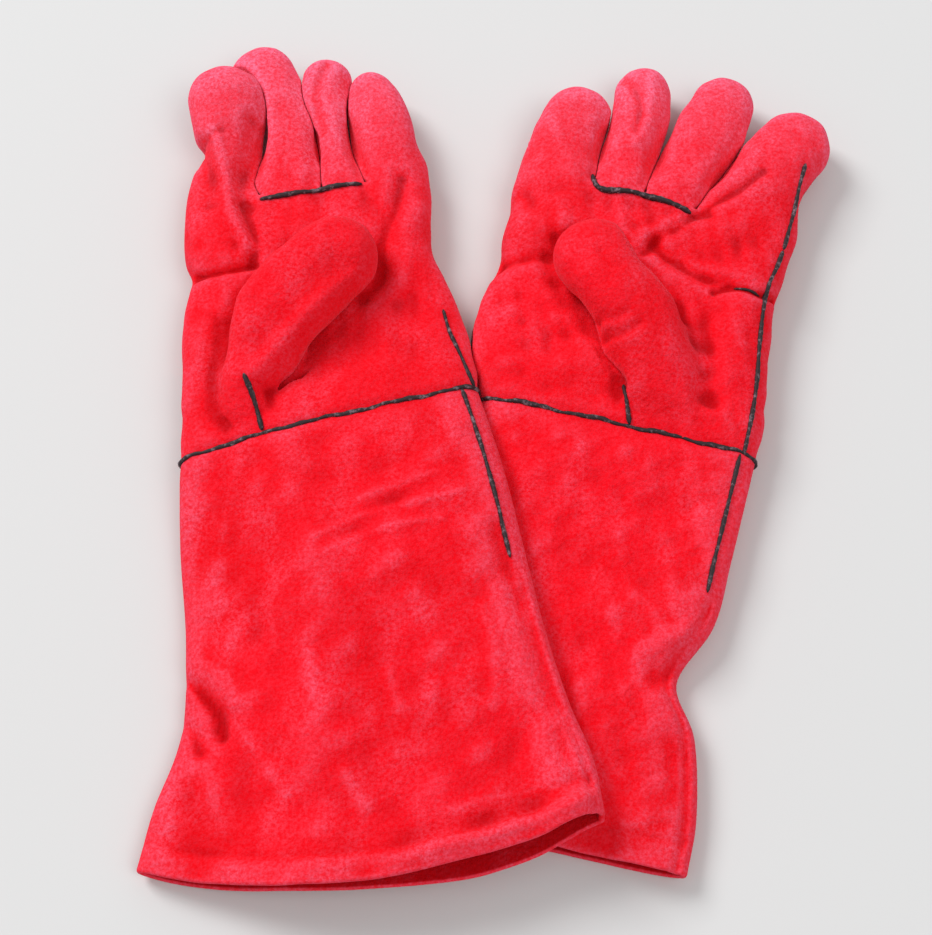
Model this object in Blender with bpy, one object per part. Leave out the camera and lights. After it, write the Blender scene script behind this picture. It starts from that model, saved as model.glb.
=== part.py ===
"""A pair of sixteen-inch welding gauntlets in red split leather, lying palms up.

The left glove lies at -X with its cuff draped over the cuff of the right glove.
Fingers point to +Y, the open cuffs to -Y, and the table is at Z = 0.
"""

from collections import namedtuple
from math import tau

import bmesh
import bpy
from mathutils import Matrix, Vector
from mathutils.bvhtree import BVHTree

# Driving dimensions, in metres.
LEATHER = 0.0014
TURNED_HEM = 0.0028
LINING = 0.0008
LINING_GAP = 0.0006
SEAM_GAP = 0.0004
PANEL_GAP = 0.0006
FINGER_GAP = 0.0007
WELT_RADIUS = 0.0015
WELT_GAP = 0.0006
WELT_BACK = 0.003
FULLNESS = 2.6
TIP_LENGTH_SHARE = 0.30
TIP_WIDTH_SHARE = 0.40
RAMP_START = 0.05
RAMP_END = 0.40

RED = (0.62, 0.03, 0.05)
DARK = (0.03, 0.012, 0.015)
COTTON = (0.62, 0.57, 0.50)

UP = Vector((0, 0, 1))

# One cross-section: its seam line from left to right, how far the palm side rises
# above it and the back drops below it at both ends, the wall, and which way the
# section retreats when the skin is offset inwards.
Section = namedtuple("Section", "line rise drop wall pull")

# One row of a cuff: both side seams as (x, y, z), rise and drop at left and right,
# and how far the row bows out towards the wearer's elbow.
Row = namedtuple("Row", "left right rise drop bow")

# One digit: both ends of its base, the tip, the width beyond the knuckle, the
# thickness, and the seam heights at base and tip.
Digit = namedtuple("Digit", "left right tip width thick base_z tip_z")

LEFT_CUFF = [
    Row((-0.151, -0.198, 0.005), (0.034, -0.180, 0.022), (0.008, 0.009), (0.005, 0.005), 0.017),
    Row((-0.146, -0.174, 0.005), (0.030, -0.157, 0.022), (0.009, 0.009), (0.005, 0.005), 0.015),
    Row((-0.135, -0.141, 0.005), (0.021, -0.134, 0.022), (0.010, 0.009), (0.005, 0.005), 0.008),
    Row((-0.139, -0.104, 0.005), (0.012, -0.103, 0.022), (0.010, 0.009), (0.005, 0.005), 0.003),
    Row((-0.143, -0.065, 0.006), (0.004, -0.067, 0.022), (0.010, 0.009), (0.006, 0.005), 0.000),
    Row((-0.145, -0.036, 0.009), (-0.005, -0.028, 0.022), (0.010, 0.008), (0.009, 0.005), 0.000),
    Row((-0.145, -0.0245, 0.011), (-0.015, 0.0085, 0.017), (0.010, 0.009), (0.011, 0.009), 0.000),
]
RIGHT_CUFF = [
    Row((-0.093, -0.160, 0.006), (0.067, -0.201, 0.007), (0.006, 0.007), (0.006, 0.007), 0.004),
    Row((-0.083, -0.139, 0.006), (0.072, -0.178, 0.007), (0.006, 0.008), (0.006, 0.007), 0.003),
    Row((-0.070, -0.112, 0.006), (0.073, -0.146, 0.007), (0.006, 0.008), (0.006, 0.007), 0.000),
    Row((-0.059, -0.090, 0.006), (0.067, -0.122, 0.007), (0.006, 0.008), (0.006, 0.007), 0.000),
    Row((-0.048, -0.068, 0.006), (0.082, -0.098, 0.008), (0.006, 0.009), (0.006, 0.008), 0.000),
    Row((-0.031, -0.040, 0.007), (0.092, -0.068, 0.010), (0.007, 0.010), (0.007, 0.010), 0.000),
    Row((-0.0075, 0.0055, 0.010), (0.106, -0.0235, 0.011), (0.009, 0.010), (0.010, 0.011), 0.000),
]

# Side seams of each hand, wrist first, as (x, y, z), and the knuckle line.
LEFT_HAND_LEFT = [
    (-0.145, -0.0235, 0.011),
    (-0.146, -0.001, 0.011),
    (-0.148, 0.034, 0.011),
    (-0.150, 0.069, 0.011),
    (-0.152, 0.105, 0.012),
]
LEFT_HAND_RIGHT = [
    (-0.015, 0.0095, 0.017),
    (-0.020, 0.026, 0.015),
    (-0.023, 0.050, 0.012),
    (-0.034, 0.082, 0.011),
    (-0.038, 0.120, 0.012),
]
LEFT_KNUCKLES = [
    (-0.152, 0.105),
    (-0.116, 0.111),
    (-0.088, 0.115),
    (-0.067, 0.1175),
    (-0.038, 0.120),
]
RIGHT_HAND_LEFT = [
    (-0.0075, 0.0065, 0.010),
    (-0.011, 0.029, 0.011),
    (-0.011, 0.056, 0.011),
    (-0.004, 0.083, 0.011),
    (0.003, 0.1225, 0.012),
]
RIGHT_HAND_RIGHT = [
    (0.106, -0.0225, 0.011),
    (0.114, 0.012, 0.011),
    (0.119, 0.040, 0.011),
    (0.124, 0.060, 0.011),
    (0.128, 0.080, 0.012),
]
RIGHT_KNUCKLES = [
    (0.003, 0.1225),
    (0.039, 0.117),
    (0.063, 0.1125),
    (0.086, 0.104),
    (0.128, 0.080),
]

HAND_RISE = 0.010
HAND_DROP = 0.011
DIGITS = {
    "left": {
        "index": Digit((-0.152, 0.105), (-0.116, 0.111), (-0.141, 0.190), 0.033, 0.023, 0.012, 0.013),
        "middle": Digit((-0.116, 0.111), (-0.088, 0.115), (-0.113, 0.207), 0.027, 0.022, 0.012, 0.012),
        "ring": Digit((-0.088, 0.115), (-0.067, 0.1175), (-0.087, 0.194), 0.020, 0.021, 0.012, 0.012),
        "little": Digit((-0.067, 0.1175), (-0.038, 0.120), (-0.063, 0.185), 0.025, 0.022, 0.012, 0.013),
        "thumb": Digit((-0.138, 0.062), (-0.109, 0.012), (-0.061, 0.078), 0.036, 0.020, 0.0335, 0.0345),
    },
    "right": {
        "little": Digit((0.003, 0.1225), (0.039, 0.117), (0.034, 0.178), 0.032, 0.023, 0.012, 0.013),
        "ring": Digit((0.039, 0.117), (0.063, 0.1125), (0.068, 0.189), 0.0225, 0.022, 0.012, 0.012),
        "middle": Digit((0.063, 0.1125), (0.086, 0.104), (0.103, 0.182), 0.0235, 0.022, 0.012, 0.012),
        "index": Digit((0.086, 0.104), (0.128, 0.080), (0.146, 0.163), 0.037, 0.023, 0.012, 0.013),
        "thumb": Digit((0.049, 0.012), (0.086, 0.059), (0.024, 0.082), 0.038, 0.020, 0.0335, 0.0345),
    },
}

# The wing that carries each thumb: the left and right foot of every arch on the palm,
# wrist first, and its height over them. The last arch stands at the thumb's base.
LEFT_WING = [
    ((-0.137, -0.0185), (-0.112, -0.0135), 0.006),
    ((-0.138, 0.010), (-0.112, -0.004), 0.013),
    ((-0.140, 0.045), (-0.1115, 0.005), 0.019),
    ((-0.138, 0.062), (-0.109, 0.012), 0.0235),
]
RIGHT_WING = [
    ((0.051, -0.006), (0.103, -0.0185), 0.006),
    ((0.050, 0.000), (0.106, 0.012), 0.013),
    ((0.0495, 0.006), (0.105, 0.042), 0.019),
    ((0.049, 0.012), (0.086, 0.059), 0.0235),
]


def clear_scene():
    for obj in list(bpy.data.objects):
        bpy.data.objects.remove(obj)


def smooth(share):
    share = min(max(share, 0.0), 1.0)
    return share * share * (3 - 2 * share)


def arch(u):
    """Height share across a section: nought at both seams and full over the middle."""
    return max(1 - abs(2 * u - 1) ** FULLNESS, 0.0) ** (1 / FULLNESS)


def point_on(line, share):
    """A point on a polyline by its share of the horizontal distance."""
    spans = [(b - a).length for a, b in zip(line, line[1:])]
    left = share * sum(spans)
    for a, b, span in zip(line, line[1:], spans):
        if left <= span:
            return a.lerp(b, left / span)
        left -= span
    return line[-1].copy()


def skin_point(section, u, side, inset):
    """A point of the skin: side is 1 for the palm and -1 for the back."""
    trim = inset / (section.line[-1] - section.line[0]).length
    share = trim + u * (1 - 2 * trim)
    ends = section.rise if side > 0 else section.drop
    height = ends[0] + (ends[1] - ends[0]) * u
    lift = SEAM_GAP / 2 + max(height - SEAM_GAP / 2 - inset, 0.0) * arch(u)
    return point_on(section.line, share) + section.pull * inset + UP * (side * lift)


def even_columns(count):
    """Shares across a section, closer together near the two seams."""
    return [smooth(j / count) for j in range(count + 1)]


def hand_columns(shares):
    """Shares across a hand, with a column at every gap between two fingers."""
    columns = [0.0, 0.03]
    for i, (a, b) in enumerate(zip(shares, shares[1:])):
        parts = 3 if i in (0, len(shares) - 2) else 2
        columns += [a + (b - a) * k / parts for k in range(1, parts + 1)]
    return columns[:-1] + [0.97, 1.0]


def mesh_object(name, points, faces, colour, roughness):
    mesh = bpy.data.meshes.new(name)
    mesh.from_pydata([tuple(p) for p in points], [], faces)
    skin = bmesh.new()
    skin.from_mesh(mesh)
    if skin.calc_volume(signed=True) < 0:
        bmesh.ops.reverse_faces(skin, faces=skin.faces)
    skin.to_mesh(mesh)
    skin.free()
    obj = bpy.data.objects.new(name, mesh)
    bpy.context.scene.collection.objects.link(obj)
    material = bpy.data.materials.new(name + "_surface")
    material.use_nodes = True
    shader = material.node_tree.nodes["Principled BSDF"]
    shader.inputs["Base Color"].default_value = (*colour, 1)
    shader.inputs["Roughness"].default_value = roughness
    mesh.materials.append(material)
    return obj


def thick_sheet(name, outer, inner, faces, colour, roughness=0.9):
    """A closed wall between two skins that share their faces, rims closed over.

    Every face is cut into triangles along the same diagonal, so that skins which
    follow each other stay the same distance apart.
    """
    count = len(outer)
    faces = [half for a, b, c, d in faces for half in ([a, b, c], [a, c, d])]
    used = {}
    for face in faces:
        for a, b in zip(face, face[1:] + face[:1]):
            used[(a, b)] = used.get((a, b), 0) + 1
    rims = [edge for edge in used if (edge[1], edge[0]) not in used]
    solid = list(faces)
    solid += [[i + count for i in reversed(face)] for face in faces]
    solid += [[b, a, a + count, b + count] for a, b in rims]
    return mesh_object(name, outer + inner, solid, colour, roughness)


def panel(name, sections, side, columns, holes=()):
    """One leather panel, the palm side or the back of a run of sections."""
    outer = []
    inner = []
    for section in sections:
        outer += [skin_point(section, u, side, 0.0) for u in columns]
        inner += [skin_point(section, u, side, section.wall) for u in columns]
    wide = len(columns)
    faces = []
    for i in range(len(sections) - 1):
        for j in range(wide - 1):
            if (i, j) in holes:
                continue
            face = [i * wide + j, i * wide + j + 1, (i + 1) * wide + j + 1, (i + 1) * wide + j]
            faces.append(face if side > 0 else face[::-1])
    return thick_sheet(name, outer, inner, faces, RED)


def ring(section, columns, inset):
    top = [skin_point(section, u, 1, inset) for u in columns]
    bottom = [skin_point(section, u, -1, inset) for u in reversed(columns)]
    return top + bottom


def liner(name, sections, columns, closed_end=False, holes=()):
    """The woven lining: a thin tube inside the leather."""
    outside = LEATHER + LINING_GAP
    outer = []
    inner = []
    for section in sections:
        start = section.wall + LINING_GAP if section.wall > LEATHER else outside
        outer += ring(section, columns, start)
        inner += ring(section, columns, start + LINING)
    around = 2 * len(columns)
    faces = []
    for i in range(len(sections) - 1):
        for j in range(around):
            if (i, j) in holes:
                continue
            k = (j + 1) % around
            faces.append([i * around + j, i * around + k, (i + 1) * around + k, (i + 1) * around + j])
    if closed_end:
        last = (len(sections) - 1) * around
        for j in range(len(columns) - 1):
            faces.append([last + j, last + j + 1, last + around - 2 - j, last + around - 1 - j])
    return thick_sheet(name, outer, inner, faces, COTTON)


def welt(name, path, sides=6):
    """A dark piped welt along a path of seam points."""
    points = []
    faces = []
    for i, here in enumerate(path):
        along = path[min(i + 1, len(path) - 1)] - path[max(i - 1, 0)]
        along.normalize()
        across = along.cross(UP)
        across.normalize()
        over = across.cross(along)
        for j in range(sides):
            turn = Vector((1, 0))
            turn.rotate(turn_matrix(j / sides))
            points.append(here + (across * turn.x + over * turn.y) * WELT_RADIUS)
    for i in range(len(path) - 1):
        for j in range(sides):
            k = (j + 1) % sides
            faces.append([i * sides + j, i * sides + k, (i + 1) * sides + k, (i + 1) * sides + j])
    faces.append(list(range(sides))[::-1])
    faces.append([(len(path) - 1) * sides + j for j in range(sides)])
    return mesh_object(name, points, faces, DARK, 0.6)


def turn_matrix(share):
    return Matrix.Rotation(share * tau, 2)


def cuff_sections(rows):
    """The sections of a cuff, hem first, each ramped up between its two side seams."""
    sections = []
    for i, row in enumerate(rows):
        left = Vector(row.left)
        right = Vector(row.right)
        line = []
        for k in range(9):
            u = k / 8
            flat = left.lerp(right, u)
            flat.y -= row.bow * 4 * u * (1 - u)
            climb = smooth((u - RAMP_START) / (RAMP_END - RAMP_START))
            flat.z = left.z + (right.z - left.z) * climb
            line.append(flat)
        wall = TURNED_HEM if i < 2 else LEATHER
        sections.append(Section(line, row.rise, row.drop, wall, Vector()))
    return sections


def knuckle_shares(knuckles):
    spans = [0.0]
    for a, b in zip(knuckles, knuckles[1:]):
        spans.append(spans[-1] + (Vector(b) - Vector(a)).length)
    return [span / spans[-1] for span in spans]


def hand_sections(left_edge, right_edge, knuckles):
    """The sections of a hand, wrist first, bending gradually into the knuckle line."""
    shares = knuckle_shares(knuckles)
    sections = []
    count = 7
    for i in range(count + 1):
        s = i / count
        left = point_on([Vector(p) for p in left_edge], s)
        right = point_on([Vector(p) for p in right_edge], s)
        line = []
        for share, (x, y) in zip(shares, knuckles):
            flat = left.lerp(right, share)
            target = Vector((x, y, flat.z))
            chord = Vector((*knuckles[0], flat.z)).lerp(Vector((*knuckles[-1], flat.z)), share)
            line.append(flat + (target - chord) * s * s)
        drop = (left.z - 0.0, min(right.z, HAND_DROP + 0.001))
        sections.append(Section(line, (HAND_RISE, HAND_RISE), drop, LEATHER, Vector()))
    return sections


def digit_sections(digit):
    """The sections of a finger or thumb, base first, rounded off at the tip."""
    left = Vector((*digit.left, digit.base_z))
    right = Vector((*digit.right, digit.base_z))
    tip = Vector((*digit.tip, digit.tip_z))
    base = left.lerp(right, 0.5)
    axis = tip - base
    axis.z = 0
    axis.normalize()
    square = Vector((axis.y, -axis.x, 0))
    base_across = (right - left).normalized()
    base_half = (right - left).length / 2 - FINGER_GAP
    sections = []
    for t in (0.0, 0.16, 0.34, 0.52, 0.70, 0.84, 0.94, 1.0):
        centre = base.lerp(tip, t) + axis * FINGER_GAP * (1 - t)
        across = base_across.lerp(square, min(t / 0.34, 1.0)).normalized()
        half = base_half + (digit.width / 2 - base_half) * smooth(t / 0.4)
        into_tip = max(t - (1 - TIP_LENGTH_SHARE), 0.0) / TIP_LENGTH_SHARE
        share = max(1 - into_tip ** 2.4, 0.0) ** (1 / 2.4)
        half *= max(share, TIP_WIDTH_SHARE)
        height = digit.thick / 2 * share
        line = [centre - across * half, centre, centre + across * half]
        pull = -axis * smooth((t - 0.7) / 0.3)
        sections.append(Section(line, (height, height), (height, height), LEATHER, pull))
    return sections


def build_digit(name, digit):
    sections = digit_sections(digit)
    columns = even_columns(6)
    panel(name + "_front", sections, 1, columns)
    panel(name + "_back", sections, -1, columns)
    liner(name + "_lining", sections, columns, closed_end=True)


def palm_height(sections, columns, x, y):
    """The height of the palm side at a place seen from above."""
    wide = len(columns)
    points = [skin_point(section, u, 1, 0.0) for section in sections for u in columns]
    corners = [i * wide + j for i in range(len(sections) - 1) for j in range(wide - 1)]
    faces = [(c, c + 1, c + wide + 1, c + wide) for c in corners]
    tree = BVHTree.FromPolygons(points, faces)
    hit = tree.ray_cast(Vector((x, y, 1.0)), Vector((0, 0, -1)))
    return hit[0].z


def wing_sections(hand, columns, wing, thumb):
    """The arches of a thumb's wing, each standing on the palm."""
    back = Vector(thumb.left).lerp(Vector(thumb.right), 0.5) - Vector(thumb.tip)
    back = Vector((*back, 0)).normalized() * PANEL_GAP
    sections = []
    for left, right, height in wing:
        feet = []
        for x, y in (left, right):
            feet.append(Vector((x, y, palm_height(hand, columns, x, y) + SEAM_GAP)) + back)
        sections.append(Section(feet, (height, height), (0, 0), LEATHER, Vector()))
    return sections


def side_path(sections, end, outward):
    """Points along a side seam, just clear of both panels."""
    away = WELT_RADIUS + WELT_GAP
    path = []
    for section in sections:
        line = section.line
        across = (line[-1] - line[0]).normalized()
        path.append(line[end] + across * outward * away)
    return path


def over_path(sections, columns, back):
    """Points just clear of the palm side, moved back from the end of the sections."""
    path = []
    for u in columns:
        end = skin_point(sections[-1], u, 1, 0.0)
        along = (end - skin_point(sections[-2], u, 1, 0.0)).normalized()
        before = skin_point(sections[-1], max(u - 0.02, 0), 1, 0.0)
        after = skin_point(sections[-1], min(u + 0.02, 1), 1, 0.0)
        out = (after - before).cross(along).normalized()
        path.append(end - along * back + out * (WELT_RADIUS + WELT_GAP))
    return path


def build_cuff(name, sections):
    columns = even_columns(10)
    panel(name + "_cuff_palm_panel", sections, 1, columns)
    panel(name + "_cuff_back_panel", sections, -1, columns)
    liner(name + "_cuff_lining", sections[1:], columns)
    welt(name + "_cuff_left_welt", side_path(sections[3:], 0, -1))
    welt(name + "_cuff_right_welt", side_path(sections[3:], -1, 1))
    welt(name + "_wrist_welt", over_path(sections, columns[1:-1], WELT_BACK))


def build_hand(name, sections, knuckles, wing, thumb, hole_columns):
    shares = knuckle_shares(knuckles)
    columns = hand_columns(shares)
    holes = {(i, j) for i in (1, 2) for j in hole_columns}
    panel(name + "_palm_panel", sections, 1, columns, holes)
    panel(name + "_hand_back_panel", sections, -1, columns)
    liner(name + "_hand_lining", sections, columns, holes=holes)
    wing_parts = wing_sections(sections, columns, wing, thumb)
    panel(name + "_thumb_wing", wing_parts, 1, even_columns(8))
    welt(name + "_hand_left_welt", side_path(sections[:-1], 0, -1))
    welt(name + "_hand_right_welt", side_path(sections[:-1], -1, 1))
    middle_and_ring = [u for u in columns if shares[1] <= u <= shares[3]]
    welt(name + "_finger_base_welt", over_path(sections, middle_and_ring, WELT_BACK))


def build():
    clear_scene()
    left_cuff = cuff_sections(LEFT_CUFF)
    right_cuff = cuff_sections(RIGHT_CUFF)
    build_cuff("left", left_cuff)
    build_cuff("right", right_cuff)
    left_hand = hand_sections(LEFT_HAND_LEFT, LEFT_HAND_RIGHT, LEFT_KNUCKLES)
    right_hand = hand_sections(RIGHT_HAND_LEFT, RIGHT_HAND_RIGHT, RIGHT_KNUCKLES)
    build_hand("left", left_hand, LEFT_KNUCKLES, LEFT_WING, DIGITS["left"]["thumb"], (2,))
    build_hand("right", right_hand, RIGHT_KNUCKLES, RIGHT_WING, DIGITS["right"]["thumb"], (8, 9))
    for side, digits in DIGITS.items():
        for digit_name, digit in digits.items():
            build_digit(side + "_" + digit_name, digit)


build()
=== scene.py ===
"""A pair of red split-leather welding gauntlets, palms up, the left cuff over the right."""

import bmesh
import bpy
import numpy as np
import openvdb
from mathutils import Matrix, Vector
from mathutils.bvhtree import BVHTree


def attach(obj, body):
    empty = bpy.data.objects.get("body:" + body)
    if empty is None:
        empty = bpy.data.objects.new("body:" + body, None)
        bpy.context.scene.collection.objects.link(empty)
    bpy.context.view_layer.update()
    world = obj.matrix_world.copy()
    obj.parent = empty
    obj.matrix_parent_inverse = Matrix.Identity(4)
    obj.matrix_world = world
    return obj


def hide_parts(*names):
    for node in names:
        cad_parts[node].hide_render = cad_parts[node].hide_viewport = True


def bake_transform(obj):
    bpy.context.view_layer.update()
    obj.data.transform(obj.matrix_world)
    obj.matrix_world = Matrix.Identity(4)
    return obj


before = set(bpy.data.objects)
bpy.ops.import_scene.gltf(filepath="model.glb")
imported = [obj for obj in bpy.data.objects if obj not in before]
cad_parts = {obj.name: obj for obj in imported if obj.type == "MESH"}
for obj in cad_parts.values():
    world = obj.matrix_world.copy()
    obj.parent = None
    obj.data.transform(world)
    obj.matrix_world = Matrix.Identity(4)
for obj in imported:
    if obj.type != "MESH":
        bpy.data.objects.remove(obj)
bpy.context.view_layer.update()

# Everything below is in millimetres until a mesh is made.
MM = 0.001
VOXEL = 0.92
LINING_VOXEL = 2.2
EDGE = 20.0  # how far in from its rim a glove reaches its full thickness
FULL = 2.3  # how square the cross-sections are: 2 is an ellipse
HAND_RISE = 10.3
HAND_DROP = 11.0
SLIT = 0.66  # half the width each cleft is cut at, before its walls close
THUMB_GAP_Z = 22.4
THUMB_GAP = 0.95
HEM_DEPTH = 12.5
HEM_WALL = 2.6
WALL = 1.5
FLOOR = 0.05
WRIST_BLEND = 22.0
FINGER_BLEND = 24.0
LINING_LEVEL = -3.4  # how far the hand's lining lies inside the leather
LINING_GAP = 0.9  # between the cuff's leather and its lining
LINING_START = HEM_DEPTH + 24  # where the cuff's lining begins, from the hem
CLEFT_REACH = 7.0  # a finger's side seam stops this close to a cleft
SEAM_DROP = 7.5  # how far a finger's side seam lies below its middle
SEAM_RADIUS = 0.45
WRIST_RADIUS = 0.98
SIDE_RADIUS = 0.92
BACK_RADIUS = 0.9
INDEX_RADIUS = 0.95
BUNCHED_RADIUS = 1.5


def arr(*rows):
    return np.array(rows, float)


# Cuff rows, hem first: left seam x, y, z, right seam x, y, z, rise at left and right,
# drop at left and right, bow of the row towards the elbow.
CUFFS = {
    "left": arr(
        (-151, -198, 5, 34, -180, 22, 8, 9, 5, 5, 17),
        (-146, -174, 5, 30, -157, 22, 9, 9, 5, 5, 15),
        (-137, -143, 5, 21, -134, 22, 10, 9, 5, 5, 8),
        (-138, -104, 5, 12, -103, 22, 10, 9, 5, 5, 3),
        (-143, -65, 6, 4, -67, 22, 10, 9, 6, 5, 0),
        (-145, -36, 9, -5, -28, 22, 10, 8, 9, 5, 0),
        (-145, -24, 11, -15, 9, 17, 10.3, 10.3, 11, 9, 0),
    ),
    "right": arr(
        (-93, -160, 6, 67, -200.5, 7, 6, 8, 6, 7, 2),
        (-83, -139, 6, 72, -178, 7, 6, 8, 6, 7, 3),
        (-70, -112, 6, 73, -146, 7, 6, 9, 6, 7, 0),
        (-59, -90, 6, 67, -122, 7, 6, 9, 6, 7, 0),
        (-48, -68, 6, 84, -97, 8, 6, 10, 6, 8, 0),
        (-31, -40, 7, 93, -68, 10, 7, 10, 7, 10, 0),
        (-14, 7.7, 10, 106, -23, 11, 10.3, 10.3, 10, 11, 0),
    ),
}

# Hand outlines, wrist first and carried past both ends.
HAND_LEFT = {
    "left": arr(
        (-145, -44), (-145, -24), (-145.6, -5), (-147, 10), (-147.8, 28), (-148.6, 48), (-147.6, 62),
        (-146.8, 70),
        (-150.2, 79), (-151.2, 92), (-150.8, 108), (-150, 130),
    ),
    "right": arr(
        (-10, -14), (-14, 7.7), (-17.5, 26), (-17.3, 45), (-14, 57), (-8.9, 69), (-4.9, 80), (-3, 92),
        (0.6, 106),
        (4, 124), (8, 140),
    ),
}
HAND_RIGHT = {
    "left": arr(
        (-12, -10), (-15, 9), (-18, 28), (-21.5, 44), (-24.8, 56), (-30.5, 72), (-36.2, 84), (-38, 97),
        (-38.6, 117),
        (-41, 140),
    ),
    "right": arr(
        (103, -42), (106, -23), (110.4, -6), (113, 9), (116, 29.5), (120, 50), (125, 71.5), (131.6, 93),
        (137, 118),
        (141, 135),
    ),
}
KNUCKLES = {
    "left": arr((-152, 105), (-116, 111), (-88, 115), (-67, 117.5), (-38, 120)),
    "right": arr((3, 122.5), (39, 117), (63, 112.5), (86, 104), (128, 80)),
}
FINGERS = {"left": ("index", "middle", "ring", "little"), "right": ("little", "ring", "middle", "index")}

# Each digit's centre line: x, y, half width, half thickness, height.
DIGITS = {
    "left": {
        "index": arr(
            (-134, 90, 14, 10.5, 11.5), (-134.5, 108, 14.6, 11, 12), (-134.8, 123, 14, 11, 12.5),
            (-131.4, 138, 13.6, 11, 14), (-133.6, 152, 17.3, 13, 16.5), (-135.2, 165.5, 18.6, 14, 18),
        ),
        "middle": arr(
            (-103, 95, 13, 10.5, 11.5), (-104, 125, 14.5, 10.5, 12), (-107, 150, 16.2, 11, 12),
            (-115, 174, 15.6, 11, 11.5), (-119.5, 186, 15.8, 11, 11.5),
        ),
        "ring": arr(
            (-78, 98, 10, 10, 11.5), (-79, 118, 11, 10.5, 12), (-82.5, 138, 9.6, 10.5, 12.5),
            (-85.5, 155, 9.6, 11, 13),
            (-88.6, 168, 11.6, 11, 12.5), (-88, 182.5, 11.4, 11, 12),
        ),
        "little": arr(
            (-53, 98, 12.5, 10.5, 12), (-53.6, 115, 14.4, 11, 12.5), (-57, 133, 15.6, 12, 13.5),
            (-60.8, 151, 15.2, 12.5, 14),
            (-63.6, 164, 13.2, 12, 14), (-66.4, 173.5, 10.8, 11, 13.5),
        ),
        "thumb": arr(
            (-78.8, 71.3, 18.6, 11, 35.5), (-87.5, 62.5, 19.6, 11, 35.2), (-97, 51.5, 20.6, 11, 34),
            (-104.5, 40, 19.4, 11, 31.5),
            (-109.5, 27, 16.6, 11, 28), (-117, 12, 10.5, 10.5, 23.5), (-117, 0, 8.5, 9, 19.5),
            (-112, -16, 7, 7.5, 15.5),
        ),
    },
    "right": {
        "little": arr(
            (20, 100, 16.5, 11, 12), (21, 112, 17.2, 11, 12), (23.6, 126, 17.2, 11.5, 12),
            (26, 138, 16.6, 11.5, 12.5),
            (29.6, 151, 16.4, 11.5, 13), (33.6, 160.6, 15.8, 11, 13),
        ),
        "ring": arr(
            (51, 98, 12, 10.5, 11.5), (53, 120, 12.8, 10.5, 12), (56, 134, 13.2, 11, 12),
            (60.4, 148, 13.4, 11, 12.5),
            (64, 160, 13.7, 11, 12.5), (65.6, 174, 13.6, 10.5, 12.5),
        ),
        "middle": arr(
            (74, 92, 12.5, 10.5, 11.5), (79, 112, 13.4, 10.5, 12), (86.5, 131, 15.6, 11, 12.5),
            (95.6, 149, 16.6, 11.5, 13),
            (103.6, 166.6, 15.4, 11, 13),
        ),
        "index": arr(
            (106, 82, 20.5, 11, 11.5), (111.4, 101, 21, 11, 12), (118, 117.5, 19.6, 12, 13),
            (128.6, 133, 18, 12.5, 14),
            (135.8, 142.6, 17.4, 12, 13.5),
        ),
        "thumb": arr(
            (36.6, 71.2, 17.8, 11, 35.5), (45.5, 58, 17.2, 11, 35), (55.4, 43.2, 18.0, 11, 33),
            (61.5, 26.5, 17.0, 11, 28.5),
            (65, 8, 16, 10, 22), (67.5, -12, 16, 8, 14.5),
        ),
    },
}
THUMB_BASE = {"left": arr((-138, 62), (-109, 12)), "right": arr((49, 12), (86, 59))}

# The clefts between neighbouring fingers, knuckle first.
CLEFTS = {
    "left": [
        arr(
            (-116, 111), (-120, 121), (-118.6, 134), (-115.4, 148), (-116.4, 163), (-121.8, 177.5),
            (-131, 187), (-146, 190),
            (-172, 190),
        ),
        arr((-88, 115), (-90, 136), (-93.2, 152), (-97.8, 164), (-100, 176), (-101.5, 205)),
        arr((-67, 117.5), (-74, 138.5), (-77.4, 156), (-77.8, 168), (-76.2, 180), (-76, 205)),
    ],
    "right": [
        arr((39, 117), (41, 125), (43.4, 139), (46.6, 151), (50.2, 165), (52, 200)),
        arr((63, 112.5), (67.3, 127), (71.4, 138), (77, 150), (83.6, 166), (90, 200)),
        arr((86, 104), (96.7, 121.4), (107.1, 135.6), (114.5, 147), (122, 158), (134, 180)),
    ],
}

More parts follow.
